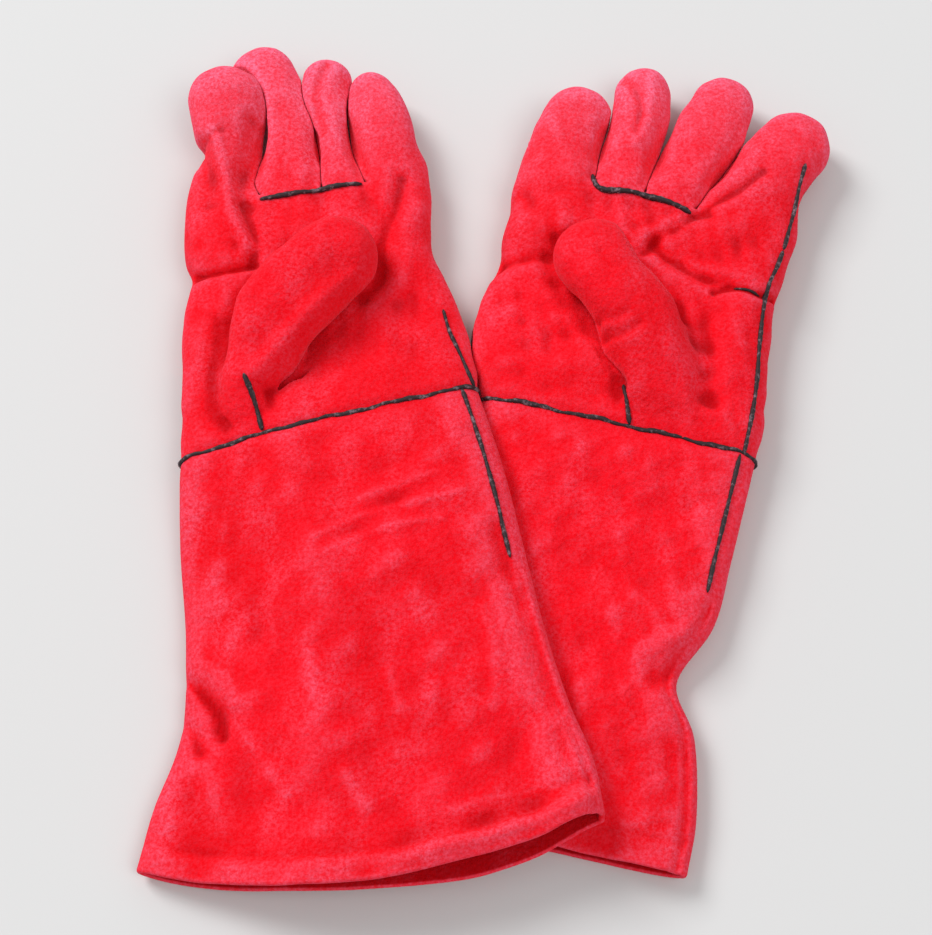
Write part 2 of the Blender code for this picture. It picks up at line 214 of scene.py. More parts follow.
# Folds: path, depth (negative stands proud), width, lowest and highest z it acts on.
FOLDS = {
    "left": [
        (arr((-150, 69), (-146, 68.5), (-134, 68.5), (-124, 70.5), (-117, 73)), 2.2, 2.0, 13, 26),
        (arr((-140, 77), (-132, 76), (-124, 77)), -0.8, 4.0, 14, 60),
        (arr((-124, 104), (-120, 92), (-117, 82), (-118, 74)), 2.2, 3.6, 12, 60),
        (arr((-138, 140), (-132.5, 118), (-127.5, 98), (-119, 82)), -2.6, 4.0, 12, 60),
        (arr((-122, 150), (-124.5, 132), (-124, 116), (-121, 104)), 2.0, 4.0, 14, 60),
        (arr((-149, 134), (-142, 130), (-139, 120), (-139, 104)), 1.8, 4.6, 12, 60),
        (arr((-150, 141.5), (-143, 139.5), (-136, 142.5)), 1.9, 2.2, 8, 60),
        (arr((-79, 62), (-88, 51.5), (-99.5, 37), (-109, 26.5), (-117, 19)), 1.1, 6.0, 27, 60),
        (arr((-70, 56), (-80, 47), (-92, 35), (-103, 23), (-111, 13)), -1.0, 4.0, 24, 60),
        (arr((-80, 84), (-96, 74), (-108, 62), (-117, 50)), -0.9, 5.0, 24, 60),
        (arr((-130, 44), (-131, 30), (-134, 12), (-131, -4), (-122, -18)), 1.5, 5.2, 12, 27),
        (arr((-141, 40), (-140, 24), (-143, 4)), -0.9, 5.0, 12, 27),
        (arr((-50, 118), (-54, 102), (-59, 84), (-60, 68), (-66, 56)), 1.9, 4.2, 12, 27),
        (arr((-42, 104), (-46, 90), (-46, 76), (-52, 58)), -1.2, 5.0, 12, 27),
        (arr((-94, 160), (-91, 138), (-89, 118)), -1.1, 2.8, 14, 60),
        (arr((-88, 186), (-92, 172), (-91, 158), (-88, 146)), 1.5, 2.4, 14, 60),
        (arr((-108, 160), (-105, 140), (-104, 122)), 0.9, 6.0, 14, 60),
        (arr((-72, 36), (-62, 28), (-48, 24)), 0.7, 7.0, 12, 27),
    ],
    "right": [
        (arr((122, 58), (112, 57), (101, 60), (92, 58)), 2.2, 1.8, 10, 27),
        (arr((92, 100), (84, 97), (76, 91), (67, 86), (62, 80)), 2.2, 3.2, 12, 60),
        (arr((86, 100), (97, 107), (108, 113), (118, 121)), 1.6, 2.4, 12, 60),
        (arr((96, 116), (106, 122), (116, 132)), -0.9, 3.6, 14, 60),
        (arr((66, 84), (74, 74), (86, 66), (98, 62)), 2.0, 3.4, 12, 60),
        (arr((-8, 74), (4, 76), (16, 78)), 1.6, 4.0, 10, 26),
        (arr((39, 66), (43, 60), (47, 59)), 0.8, 2.0, 30, 60),
        (arr((39, 38), (45, 36), (50, 38)), 0.9, 2.0, 24, 60),
        (arr((42, 30), (49, 29), (56, 33)), 1.1, 2.2, 22, 60),
        (arr((58, 66), (67, 57), (76, 46), (82, 34)), 0.8, 6.0, 16, 60),
        (arr((86, 42), (85, 22), (83, 2)), 1.3, 7.0, 14, 60),
        (arr((101, 50), (99, 28), (96, 4)), -1.6, 6.5, 14, 60),
        (arr((54, 184), (60, 172), (63, 158), (60, 146)), 1.4, 2.6, 14, 60),
        (arr((70, 182), (68, 164), (60, 140)), -0.8, 3.6, 14, 60),
        (arr((20, 150), (26, 134), (30, 118)), -0.8, 6.0, 12, 60),
        (arr((8, 112), (16, 98), (20, 88)), 1.1, 5.0, 12, 26),
    ],
}
# Folds of the cuffs' upper side: path, depth, width.
CUFF_FOLDS = {
    "left": [
        (arr((-146, -120), (-136.4, -122), (-128.6, -128), (-121.4, -137.6), (-119, -147)), 4.4, 2.4),
        (arr((-142, -138), (-132.5, -143), (-127.7, -153)), 3.0, 2.8),
        (arr((-142, -112), (-134, -115), (-122, -123), (-114, -134)), -1.6, 3.6),
        (arr((-136, -150), (-126, -162), (-120, -176)), -1.0, 5.0),
        (arr((-118, -29), (-123, -52), (-126, -71), (-129, -93)), -1.0, 3.6),
        (arr((-8, -60), (2, -96), (12, -132), (22, -168)), 1.8, 3.0),
        (arr((-1, -72), (7, -100), (17, -134), (26, -164)), -1.0, 2.6),
        (arr((-112, -28), (-84, -38), (-52, -30), (-30, -18)), 0.9, 5.0),
        (arr((-60, -52), (-40, -42), (-22, -30)), 0.9, 4.0),
        (arr((-104, -70), (-84, -58), (-60, -64)), 0.8, 6.0),
        (arr((-62, -92), (-40, -84), (-14, -92)), 0.8, 7.0),
        (arr((-88, -186), (-70, -168), (-50, -150)), 0.9, 7.0),
        (arr((-40, -184), (-14, -168), (8, -142)), 1.0, 6.0),
        (arr((-84, -66), (-74, -60.5), (-57, -53.5), (-22, -45)), -0.9, 2.2),
        (arr((-78, -72), (-57, -62.5), (-31, -57)), -0.8, 2.2),
        (arr((-66, -48), (-44, -40), (-26, -34)), -0.7, 2.2),
        (arr((-84, -117), (-81.5, -134)), -1.2, 3.4),
        (arr((-51, -125), (-47, -139)), -1.0, 3.4),
        (arr((-34, -129), (-32.5, -143)), -1.0, 3.6),
        (arr((-68, -166), (-60, -178)), -1.0, 3.6),
        (arr((-108, -150), (-92, -172)), -0.9, 3.2),
        (arr((-14, -96), (-8, -118), (-10, -138)), -0.9, 3.4),
        (arr((-104, -92), (-98, -112)), -0.8, 3.2),
    ],
    "right": [
        (arr((92, -118), (74, -116), (58, -122)), 3.6, 4.6),
        (arr((90, -104), (72, -104), (56, -110)), -1.4, 5.0),
        (arr((51, -86), (58, -97), (63, -106)), -1.7, 4.6),
        (arr((74, -132), (64, -150), (62, -172)), 1.1, 5.0),
        (arr((62, -40), (54, -70), (58, -96)), 1.1, 8.0),
        (arr((30, -30), (50, -44), (74, -46)), 0.8, 6.0),
        (arr((36, -120), (50, -150), (48, -180)), -0.9, 8.0),
    ],
}


# ---------------------------------------------------------------- fields


def smooth(t):
    t = np.clip(t, 0.0, 1.0)
    return t * t * (3 - 2 * t)


def soft_min(a, b, k):
    h = np.clip(0.5 + 0.5 * (b - a) / k, 0.0, 1.0)
    return b * (1 - h) + a * h - k * h * (1 - h)


def catmull(points, parts):
    """A smooth curve through the points."""
    p = np.vstack([2 * points[0] - points[1], points, 2 * points[-1] - points[-2]])
    out = []
    for i in range(1, len(p) - 2):
        for t in np.arange(parts) / parts:
            a = 2 * p[i] + (p[i + 1] - p[i - 1]) * t
            b = (2 * p[i - 1] - 5 * p[i] + 4 * p[i + 1] - p[i + 2]) * t * t
            c = (3 * p[i] - p[i - 1] - 3 * p[i + 1] + p[i + 2]) * t**3
            out.append((a + b + c) / 2)
    out.append(points[-1])
    return np.array(out)


def to_path(x, y, path):
    """Distance to a path, and the same signed: positive on the right of its direction."""
    best = np.full(np.shape(x), 1e9)
    sign = np.ones(np.shape(x))
    for a, b in zip(path, path[1:]):
        step = b - a
        t = np.clip(((x - a[0]) * step[0] + (y - a[1]) * step[1]) / (step @ step), 0, 1)
        dist = np.hypot(x - a[0] - t * step[0], y - a[1] - t * step[1])
        turn = (x - a[0]) * step[1] - (y - a[1]) * step[0]
        near = dist < best
        best = np.where(near, dist, best)
        sign = np.where(near, np.where(turn >= 0, 1.0, -1.0), sign)
    return best, best * sign


def to_line(x, y, ends):
    """Signed distance to the endless line through two points: positive on its left."""
    step = (ends[1] - ends[0]) / np.linalg.norm(ends[1] - ends[0])
    return step[0] * (y - ends[0][1]) - step[1] * (x - ends[0][0])


def to_chain(x, y, chain):
    """Distance to a digit's centre line, with its width, thickness and height there."""
    best = np.full(np.shape(x), 1e9)
    found = [np.zeros(np.shape(x)) for _ in range(4)]
    for a, b in zip(chain, chain[1:]):
        step = b[:2] - a[:2]
        t = np.clip(((x - a[0]) * step[0] + (y - a[1]) * step[1]) / (step @ step), 0, 1)
        dist = np.hypot(x - a[0] - t * step[0], y - a[1] - t * step[1])
        width = a[2] + (b[2] - a[2]) * t
        near = dist - width < best
        best = np.where(near, dist - width, best)
        values = (dist, width, a[3] + (b[3] - a[3]) * t, a[4] + (b[4] - a[4]) * t)
        found = [np.where(near, new, old) for new, old in zip(values, found)]
    return found


def ripple(x, y, z, wave, seed, parts=9):
    """Smooth unevenness, about -1 to 1, with features about one wave long."""
    dice = np.random.RandomState(seed)
    total = 0
    for _ in range(parts):
        way = dice.normal(size=3)
        way *= dice.uniform(0.6, 1.5) * 2 * np.pi / wave / np.linalg.norm(way)
        total = total + np.sin(x * way[0] + y * way[1] + z * way[2] + dice.uniform(0, 6.28))
    return total / parts**0.5 / 1.2


def to_curve(x, y, path):
    return to_path(x, y, catmull(path, 4))


def relaxed(run, rounds):
    """A run of points with its kinks smoothed out."""
    for _ in range(rounds):
        run[1:-1] = (run[:-2] + 2 * run[1:-1] + run[2:]) / 4
    return run


def wrist_of(side):
    row = CUFFS[side][-1]
    return np.array([row[0:2], row[3:5]])


def hand_field(side, cell):
    """The hand, fingers and thumb of one glove as a distance-like field on a grid."""
    knuckles = KNUCKLES[side]
    left = catmull(HAND_LEFT[side], 6)
    right = catmull(HAND_RIGHT[side], 6)
    low = np.array([min(left[:, 0].min(), right[:, 0].min()) - 26, -52, -4])
    high = np.array([max(left[:, 0].max(), right[:, 0].max()) + 26, 214, 54])
    count = np.ceil((high - low) / cell).astype(int)
    x = (low[0] + np.arange(count[0]) * cell)[:, None]
    y = (low[1] + np.arange(count[1]) * cell)[None, :]
    z = (low[2] + np.arange(count[2]) * cell)[None, None, :]
    x, y = x + 0 * y, y + 0 * x

    from_left = to_path(x, y, left)[1]
    from_right = -to_path(x, y, right)[1]
    past = -to_path(x, y, knuckles)[1]
    wrist = wrist_of(side)
    up_hand = to_line(x, y, wrist)
    inside = soft_min(soft_min(from_left, from_right, 4.0), 20.0 - past, 12.0)
    across = np.clip(from_left / (from_left + from_right + 1e-6), 0, 1)
    tilt = 1 - smooth(up_hand / 46)
    row = CUFFS[side][-1]
    climb = smooth((across - 0.05) / 0.35)
    middle = 11 + tilt * ((row[2] - 11) + (row[5] - row[2]) * climb)

    thumb = catmull(DIGITS[side]["thumb"], 9)
    reach, width, thick, height = to_chain(x, y, thumb)
    free = to_line(x, y, THUMB_BASE[side])
    pocket = smooth(1 - (reach - width - 1) / 8) * smooth((free + 8) / 8)
    dip = 1.3 * np.exp(-((up_hand / 3.0) ** 2))
    rise = HAND_RISE - 1.5 * pocket - dip
    drop = HAND_DROP - tilt * (11 - (row[8] + (row[9] - row[8]) * across))
    rise = rise + 1.3 * np.exp(-(((past + 26) / 18) ** 2)) * smooth(up_hand / 20)

    x3, y3 = x[..., None], y[..., None]
    over = z - middle[..., None]
    tall = np.where(over > 0, rise[..., None], drop[..., None])
    edge = np.clip(EDGE - inside, 0, None)[..., None] / EDGE
    field = ((edge**FULL + np.abs(over / tall) ** FULL) ** (1 / FULL) - 1) * 10

    sides = [to_curve(x, y, cleft)[1] for cleft in CLEFTS[side]]
    digits = None
    for i, name in enumerate(FINGERS[side]):
        line = catmull(DIGITS[side][name], 9)
        far, wide, deep, mid = to_chain(x, y, line)
        share = (far / wide)[..., None] ** FULL + np.abs((z - mid[..., None]) / deep[..., None]) ** FULL
        one = (share ** (1 / FULL) - 1) * 10
        for other, way in ((i - 1, -1), (i, 1)):
            if 0 <= other < 3:
                one = np.maximum(one, np.where(past > 0, way * sides[other], -9.0)[..., None])
        digits = one if digits is None else np.minimum(digits, one)
    field = soft_min(field, digits, 4.5)

    sunk = smooth((height - 16) / 16)
    height = height - 5 * sunk
    over = z - height[..., None]
    tall = np.where(over > 0, (thick + 2.4 * sunk)[..., None], 13.0)
    share = (reach / width)[..., None] ** FULL + np.abs(over / tall) ** FULL
    wing = (share ** (1 / FULL) - 1) * 10 + 7 * (1 - smooth(up_hand / 16))[..., None]
    merge = 0.8 + 6 * smooth((11 - free) / 18)
    if side == "right":
        merge += 6 * smooth(-to_path(x, y, thumb[:, :2])[1] / 10) * smooth((64 - y) / 14)
    field = soft_min(field, wing, merge[..., None])

    for cleft in CLEFTS[side]:
        gap = to_curve(x, y, cleft)[0]
        groove = 2.6 * np.exp(-((gap / 3.2) ** 2)) * smooth((past + 1) / 7) * smooth((46 - past) / 20)
        field = field + groove[..., None] * smooth((z - 11) / 5)
    for path, depth, wide, bottom, top in FOLDS[side]:
        near = np.exp(-((to_curve(x, y, path)[0] / wide) ** 2))
        act = smooth((z - bottom) / 3) * smooth((top - z) / 3)
        field = field + depth * near[..., None] * act

    calm = smooth((z - 4) / 10) * smooth((up_hand - 1) / 12)[..., None]
    calm = calm * (1 - 0.55 * smooth(edge)) * (1 - 0.6 * smooth((z - 22) / 6))
    field = field + calm * 1.0 * ripple(x3, y3, z, 30, 3 if side == "left" else 4)
    field = field + calm * 0.34 * ripple(x3, y3, z, 12, 5 if side == "left" else 6)

    for cleft in CLEFTS[side]:
        gap = to_curve(x, y, cleft)[0]
        slit = np.maximum(gap, SLIT - past)[..., None] - SLIT + 0 * z
        field = np.maximum(field, -slit)
    plate = np.maximum(np.abs(z - THUMB_GAP_Z) - THUMB_GAP, 3.0 - free[..., None])
    plate = np.maximum(plate, (reach - width - 5)[..., None])
    field = np.maximum(field, -plate)
    return field.astype(np.float32), low


def close_clefts(side, points):
    """Bring the two walls of each cleft almost together, as touching fingers are."""
    x, y = points[:, 0], points[:, 1]
    past = -to_path(x, y, KNUCKLES[side])[1]
    move = np.zeros((len(points), 2))
    for cleft in CLEFTS[side]:
        path = catmull(cleft, 4)
        gap, signed = to_path(x, y, path)
        slope_x = (to_path(x + 0.1, y, path)[1] - to_path(x - 0.1, y, path)[1]) / 0.2
        slope_y = (to_path(x, y + 0.1, path)[1] - to_path(x, y - 0.1, path)[1]) / 0.2
        slope = np.stack([slope_x, slope_y], 1)
        slope /= np.maximum(np.linalg.norm(slope, axis=1, keepdims=True), 1)
        pull = (SLIT - 0.14) * smooth((5 - gap) / 4.3) * smooth((past - 1) / 4)
        pull = np.minimum(pull, np.maximum(gap - 0.1, 0))
        move -= slope * (np.sign(signed) * pull)[:, None]
    points[:, :2] += move
    return points


def polygons(field, low, cell, level=0.0):
    grid = openvdb.FloatGrid(5.0)
    grid.copyFromArray(np.ascontiguousarray(field))
    grid.transform = openvdb.createLinearTransform(voxelSize=cell)
    points, quads = grid.convertToQuads(level)
    return points.astype(float) + low, quads.astype(int)


def cut_at(points, quads, ends):
    """Cut a mesh by the upright plane through two points, keeping its left side."""
    shell = bmesh.new()
    verts = [shell.verts.new(p) for p in points]
    for quad in quads:
        shell.faces.new([verts[i] for i in quad])
    step = ends[1] - ends[0]
    normal = Vector((-step[1], step[0], 0)).normalized()
    geometry = shell.verts[:] + shell.edges[:] + shell.faces[:]
    bmesh.ops.bisect_plane(shell, geom=geometry, plane_co=(*ends[0], 0), plane_no=normal, clear_inner=True)
    shell.verts.index_update()
    points = np.array([v.co[:] for v in shell.verts])
    faces = [[v.index for v in f.verts] for f in shell.faces]
    shell.free()
    return points, faces


def biggest_island(points, faces):
    """Only the largest connected piece: the field can leave specks inside a fold."""
    label = np.arange(len(points))

    def root(i):
        while label[i] != i:
            label[i] = label[label[i]]
            i = label[i]
        return i

    for face in faces:
        first = root(face[0])
        for other in face[1:]:
            label[root(other)] = first
    roots = np.array([root(i) for i in range(len(points))])
    names, sizes = np.unique(roots, return_counts=True)
    main = names[sizes.argmax()]
    return [face for face in faces if roots[face[0]] == main]


# ---------------------------------------------------------------- meshes


def relief(points, faces, normals, rounds=36):
    """How far each point stands proud of its surroundings, in millimetres."""
    ends = set()
    for face in faces:
        for a, b in zip(face, list(face[1:]) + [face[0]]):
            ends.add((a, b) if a < b else (b, a))
    ends = np.array(list(ends))
    both = np.concatenate([ends, ends[:, ::-1]])
    count = np.bincount(both[:, 0], minlength=len(points))[:, None] + 1e-9
    soft = points.copy()
    for _ in range(rounds):
        around = [np.bincount(both[:, 0], soft[both[:, 1], k], len(points)) for k in range(3)]
        soft = np.stack(around, 1) / count
    return ((points - soft) * normals).sum(1)


def make_piece(name, points, faces, normals=None, proud=None):
    """A mesh object in metres that remembers where its leather lay at rest."""
    used = np.unique(np.concatenate([np.asarray(face) for face in faces]))
    new = np.full(len(points), -1)
    new[used] = np.arange(len(used))
    kept = points[used]
    mesh = bpy.data.meshes.new(name)
    mesh.from_pydata((kept * MM).tolist(), [], [[int(new[i]) for i in face] for face in faces])
    mesh.polygons.foreach_set("use_smooth", [True] * len(mesh.polygons))
    rest = mesh.attributes.new("rest", "FLOAT_VECTOR", "POINT")
    rest.data.foreach_set("vector", (kept * MM).ravel())
    # Painted highlight and nap wear: how much paler a point is painted, rising towards the fingertips (painted
    # highlight) and on raised ridges (partly nap wear, partly painted highlight).
    highlight_and_wear = mesh.attributes.new("highlight_and_wear", "FLOAT", "POINT")
    high = np.zeros(len(kept)) if proud is None else proud[used]
    painted_highlight = smooth((kept[:, 1] - 84) / 112) ** 1.2
    ridge_wear_and_highlight = smooth((high - 0.02) / 0.9)
    highlight_and_wear.data.foreach_set("value", 0.70 * painted_highlight + (0.35 + 0.5 * painted_highlight) * ridge_wear_and_highlight)
    # Painted shade: how much darker red a point is painted, more in hollows and creases.
    deep = mesh.attributes.new("deep", "FLOAT", "POINT")
    deep.data.foreach_set("value", smooth((0.02 - high) / 0.8))
    if normals is not None:
        mesh.normals_split_custom_set_from_vertices(normals[used].tolist())
    obj = bpy.data.objects.new(name, mesh)
    bpy.context.scene.collection.objects.link(obj)
    return obj


def vertex_normals(points, faces):
    normals = np.zeros_like(points)
    for size in {len(face) for face in faces}:
        some = np.array([face for face in faces if len(face) == size])
        a = points[some[:, 0]]
        total = 0
        for k in range(1, size - 1):
            total = total + np.cross(points[some[:, k]] - a, points[some[:, k + 1]] - a)
        for k in range(size):
            np.add.at(normals, some[:, k], total)
    return normals / (np.linalg.norm(normals, axis=1, keepdims=True) + 1e-12)


def tube(path, radius, sides=10, closed=False, knots=0.0):
    """A round welt along a path, its ends tapered shut."""
    path = np.asarray(path)
    count = len(path)
    ahead = np.roll(path, -1, 0) - np.roll(path, 1, 0)
    if not closed:
        ahead[0] = path[1] - path[0]
        ahead[-1] = path[-1] - path[-2]
    ahead /= np.linalg.norm(ahead, axis=1, keepdims=True)
    across = np.cross(ahead, (0, 0, 1.0))
    across /= np.linalg.norm(across, axis=1, keepdims=True) + 1e-9
    over = np.cross(across, ahead)
    beat = np.arange(count)
    size = radius * (1 + knots * np.sin(beat * 1.9) + 1.6 * knots * np.sin(beat * 0.37 + radius * 40))
    if not closed:
        size[[0, -1]] *= 0.35
        size[[1, -2]] *= 0.8
    turn = np.arange(sides) * 2 * np.pi / sides
    rings = (
        path[:, None]
        + across[:, None] * (np.cos(turn)[None, :, None] * size[:, None, None])
        + over[:, None] * (np.sin(turn)[None, :, None] * size[:, None, None])
    )
    points = rings.reshape(-1, 3)
    faces = []
    for i in range(count if closed else count - 1):
        j = (i + 1) % count
        for k in range(sides):
            m = (k + 1) % sides
            faces.append([i * sides + k, i * sides + m, j * sides + m, j * sides + k])
    if not closed:
        faces.append(list(range(sides))[::-1])
        faces.append([(count - 1) * sides + k for k in range(sides)])
    return points, faces


def joined(shapes):
    """Several meshes as one."""
    points = np.concatenate([shape[0] for shape in shapes])
    faces, total = [], 0
    for some, quads in shapes:
        faces += [[k + total for k in quad] for quad in quads]
        total += len(some)
    return points, faces


def spaced(path, step):
    """The path again, with points a fixed step apart."""
    path = np.asarray(path, float)
    along = np.concatenate([[0], np.cumsum(np.linalg.norm(np.diff(path, axis=0), axis=1))])
    want = np.arange(0, along[-1], step)
    return np.stack([np.interp(want, along, path[:, k]) for k in range(path.shape[1])], 1)


def tree_of(points, faces):
    return BVHTree.FromPolygons(points.tolist(), [list(map(int, face)) for face in faces])


def drop_on(tree, path, lift, step=1.2):
    """Points over a plan path where it meets the leather from above."""
    out = []
    for x, y in spaced(catmull(path, 6), step):
        hit = tree.ray_cast(Vector((x, y, 200)), Vector((0, 0, -1)))
        if hit[0] is not None:
            out.append(np.array(hit[0] + hit[1] * lift))
    return relaxed(np.array(out), 3)


# ---------------------------------------------------------------- materials


def new_material(name):
    material = bpy.data.materials.new(name)
    material.use_nodes = True
    tree = material.node_tree
    return material, tree, tree.nodes["Principled BSDF"]


def noise(tree, source, scale, detail=3.0, rough=0.55):
    node = tree.nodes.new("ShaderNodeTexNoise")
    node.inputs["Scale"].default_value = scale
    node.inputs["Detail"].default_value = detail
    node.inputs["Roughness"].default_value = rough
    tree.links.new(source, node.inputs["Vector"])
    return node.outputs["Fac"]


def attribute(tree, name, output):
    node = tree.nodes.new("ShaderNodeAttribute")
    node.attribute_name = name
    return node.outputs[output]


def stretched(tree, source, scale):
    node = tree.nodes.new("ShaderNodeVectorMath")
    node.operation = "MULTIPLY"
    node.inputs[1].default_value = scale
    tree.links.new(source, node.inputs[0])
    return node.outputs["Vector"]


def ramp(tree, source, low, high):
    node = tree.nodes.new("ShaderNodeMapRange")
    node.inputs["From Min"].default_value = low
    node.inputs["From Max"].default_value = high
    tree.links.new(source, node.inputs["Value"])
    return node.outputs["Result"]


def maths(tree, how, a, b):
    node = tree.nodes.new("ShaderNodeMath")
    node.operation = how
    for socket, value in zip(node.inputs, (a, b)):
        if isinstance(value, (int, float)):
            socket.default_value = value
        else:
            tree.links.new(value, socket)
    return node.outputs[0]


def blend_colours(tree, share, a, b):
    node = tree.nodes.new("ShaderNodeMix")
    node.data_type = "RGBA"
    tree.links.new(share, node.inputs["Factor"])
    for socket, value in ((node.inputs["A"], a), (node.inputs["B"], b)):
        if isinstance(value, tuple):
            socket.default_value = (*value, 1)
        else:
            tree.links.new(value, socket)
    return node.outputs["Result"]


def bumped(tree, shader, height, strength, distance):
    node = tree.nodes.new("ShaderNodeBump")
    node.inputs["Strength"].default_value = strength
    node.inputs["Distance"].default_value = distance
    tree.links.new(height, node.inputs["Height"])
    tree.links.new(node.outputs["Normal"], shader.inputs["Normal"])


def suede(name, painted_shade_colour, deep, bright, pink):
    """Napped split leather: uneven dye, painted shade in hollows and inside the cuffs, paler raised nap that is partly
    wear and partly painted highlight, a painted highlight towards the fingertips, fine fibres.
    """
    material, tree, shader = new_material(name)
    rest = attribute(tree, "rest", "Vector")
    clouds = ramp(tree, noise(tree, rest, 24, 4), 0.26, 0.74)
    colour = blend_colours(tree, clouds, deep, bright)
    # Painted shade: darker red in hollows and creases and on the inside of the cuffs, from the mesh's depth attribute.
    painted_shade = maths(tree, "MULTIPLY", attribute(tree, "deep", "Fac"), 0.85)
    colour = blend_colours(tree, painted_shade, colour, painted_shade_colour)
    long = stretched(tree, rest, (1.0, 0.55, 1.0))
    patches = ramp(tree, noise(tree, long, 62, 4, 0.5), 0.46, 0.90)
    grain = ramp(tree, noise(tree, rest, 620, 4, 0.75), 0.40, 0.66)
    share = maths(tree, "ADD", maths(tree, "MULTIPLY", patches, 0.32), 0.08)
    wear_and_highlight = maths(tree, "MULTIPLY", share, maths(tree, "ADD", maths(tree, "MULTIPLY", grain, 1.1), 0.1))
    # Painted highlight: paler pink towards the fingertips and on raised ridges, there partly nap wear, from the mesh
    # attribute read below.
    painted_highlight = maths(tree, "MULTIPLY", grain, 0.5)
    painted_highlight = maths(tree, "MULTIPLY", attribute(tree, "highlight_and_wear", "Fac"), maths(tree, "ADD", painted_highlight, 0.25))
    # Less nap wear where the painted shade lies.
    wear_and_highlight = maths(tree, "MULTIPLY", wear_and_highlight, maths(tree, "SUBTRACT", 1.0, maths(tree, "MULTIPLY", painted_shade, 0.8)))
    wear_and_highlight = maths(tree, "ADD", wear_and_highlight, painted_highlight)
    colour = blend_colours(tree, wear_and_highlight, colour, pink)
    tree.links.new(colour, shader.inputs["Base Color"])
    shader.inputs["Roughness"].default_value = 0.95
    shader.inputs["Specular IOR Level"].default_value = 0.04
    shader.inputs["Sheen Weight"].default_value = 0.22
    shader.inputs["Sheen Roughness"].default_value = 0.35
    shader.inputs["Sheen Tint"].default_value = (1.0, 0.32, 0.46, 1)
    pebbles = maths(tree, "MULTIPLY", noise(tree, rest, 300, 3), 1.8)
    height = maths(tree, "ADD", noise(tree, rest, 900, 3, 0.7), pebbles)
    bumped(tree, shader, height, 0.7, 0.0007)
    return material


def piping(name):
    """Dark bound welt, flecked grey all over: partly scuffed wear, partly painted highlight."""
    material, tree, shader = new_material(name)
    rest = attribute(tree, "rest", "Vector")
    # Grey flecks: partly scuffed wear, partly painted highlight.
    scuff_and_glint = ramp(tree, noise(tree, rest, 420, 4, 0.65), 0.53, 0.70)
    colour = blend_colours(tree, scuff_and_glint, (0.014, 0.004, 0.007), (0.22, 0.15, 0.18))
    tree.links.new(colour, shader.inputs["Base Color"])
    shader.inputs["Roughness"].default_value = 0.68
    bumped(tree, shader, noise(tree, rest, 900, 3), 0.5, 0.0004)
    return material


def cotton(name):
    """Unbleached plain-woven lining."""
    material, tree, shader = new_material(name)
    rest = attribute(tree, "rest", "Vector")
    heights = []
    for way in ("X", "Y"):
        node = tree.nodes.new("ShaderNodeTexWave")
        node.bands_direction = way
        node.inputs["Scale"].default_value = 420
        node.inputs["Distortion"].default_value = 0.6
        tree.links.new(rest, node.inputs["Vector"])
        heights.append(node.outputs["Fac"])
    weave = maths(tree, "MULTIPLY", *heights)
    stain = ramp(tree, noise(tree, rest, 30, 4), 0.35, 0.7)
    colour = blend_colours(tree, stain, (0.62, 0.55, 0.46), (0.76, 0.71, 0.63))
    tree.links.new(colour, shader.inputs["Base Color"])
    shader.inputs["Roughness"].default_value = 0.95
    bumped(tree, shader, weave, 0.6, 0.0004)
    return material


# Colours, in order: the painted shade of hollows, a darker and a brighter dye tone, and the pink of nap wear and
# painted highlight.
RED = suede("red_split_leather", (0.46, 0.0, 0.002), (0.78, 0.001, 0.005), (0.90, 0.003, 0.011), (0.94, 0.17, 0.29))
PIPING = piping("dark_piping")
COTTON = cotton("cotton_lining")


def finish_piece(obj, material, slot, body=None, blend=None, nodes=()):
    obj.data.materials.append(material)
    if nodes:
        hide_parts(*nodes)
    if blend:
        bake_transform(obj)
    else:
        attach(obj, body)


def add_piping(name, shape, **bound):
    finish_piece(make_piece(name, *shape), PIPING, "piping", **bound)


def blend_past(ends, near, far, *bodies):
    """From one body to the next, over a stretch past the line through two points."""
    middle = ends.mean(0)
    step = ends[1] - ends[0]
    ahead = np.array([-step[1], step[0]]) / np.linalg.norm(step)
    start = middle + ahead * near
    end = middle + ahead * far
    return (*bodies, (*start * MM, 0), (*end * MM, 0))


def wrist_blend(side):
    return blend_past(wrist_of(side), 2.0, WRIST_BLEND, side + "_cuff", side + "_hand")


def digit_blend(side, name, ends):
    return blend_past(ends, 2.5, FINGER_BLEND, side + "_hand", side + "_" + name)


def parts_of(side):
    """The parts of a hand as sort_faces numbers them, with the blend of each."""
    yield "hand", wrist_blend(side)
    for i, name in enumerate(FINGERS[side]):
        yield name, digit_blend(side, name, KNUCKLES[side][i : i + 2])
    yield "thumb", digit_blend(side, "thumb", THUMB_BASE[side])


# ---------------------------------------------------------------- hands


def sort_faces(side, points, faces):
    """Which part each face belongs to: 0 the hand, 1 to 4 a finger, 5 the thumb."""
    centres = np.array([points[face].mean(0) for face in faces])
    x, y, z = centres.T
    knuckles = KNUCKLES[side]
    part = np.zeros(len(faces), int)
    order = np.zeros(len(faces), int)
    for cleft in CLEFTS[side]:
        order += to_curve(x, y, cleft)[1] > 0
    for i in range(4):
        beyond = to_line(x, y, knuckles[i : i + 2]) > 0
        part[(order == i) & beyond] = i + 1
    chain = catmull(DIGITS[side]["thumb"], 4)
    reach, width, _, _ = to_chain(x, y, chain)
    free = to_line(x, y, THUMB_BASE[side]) > 0
    part[free & (reach < width + 4) & (z > THUMB_GAP_Z)] = 5
    return part


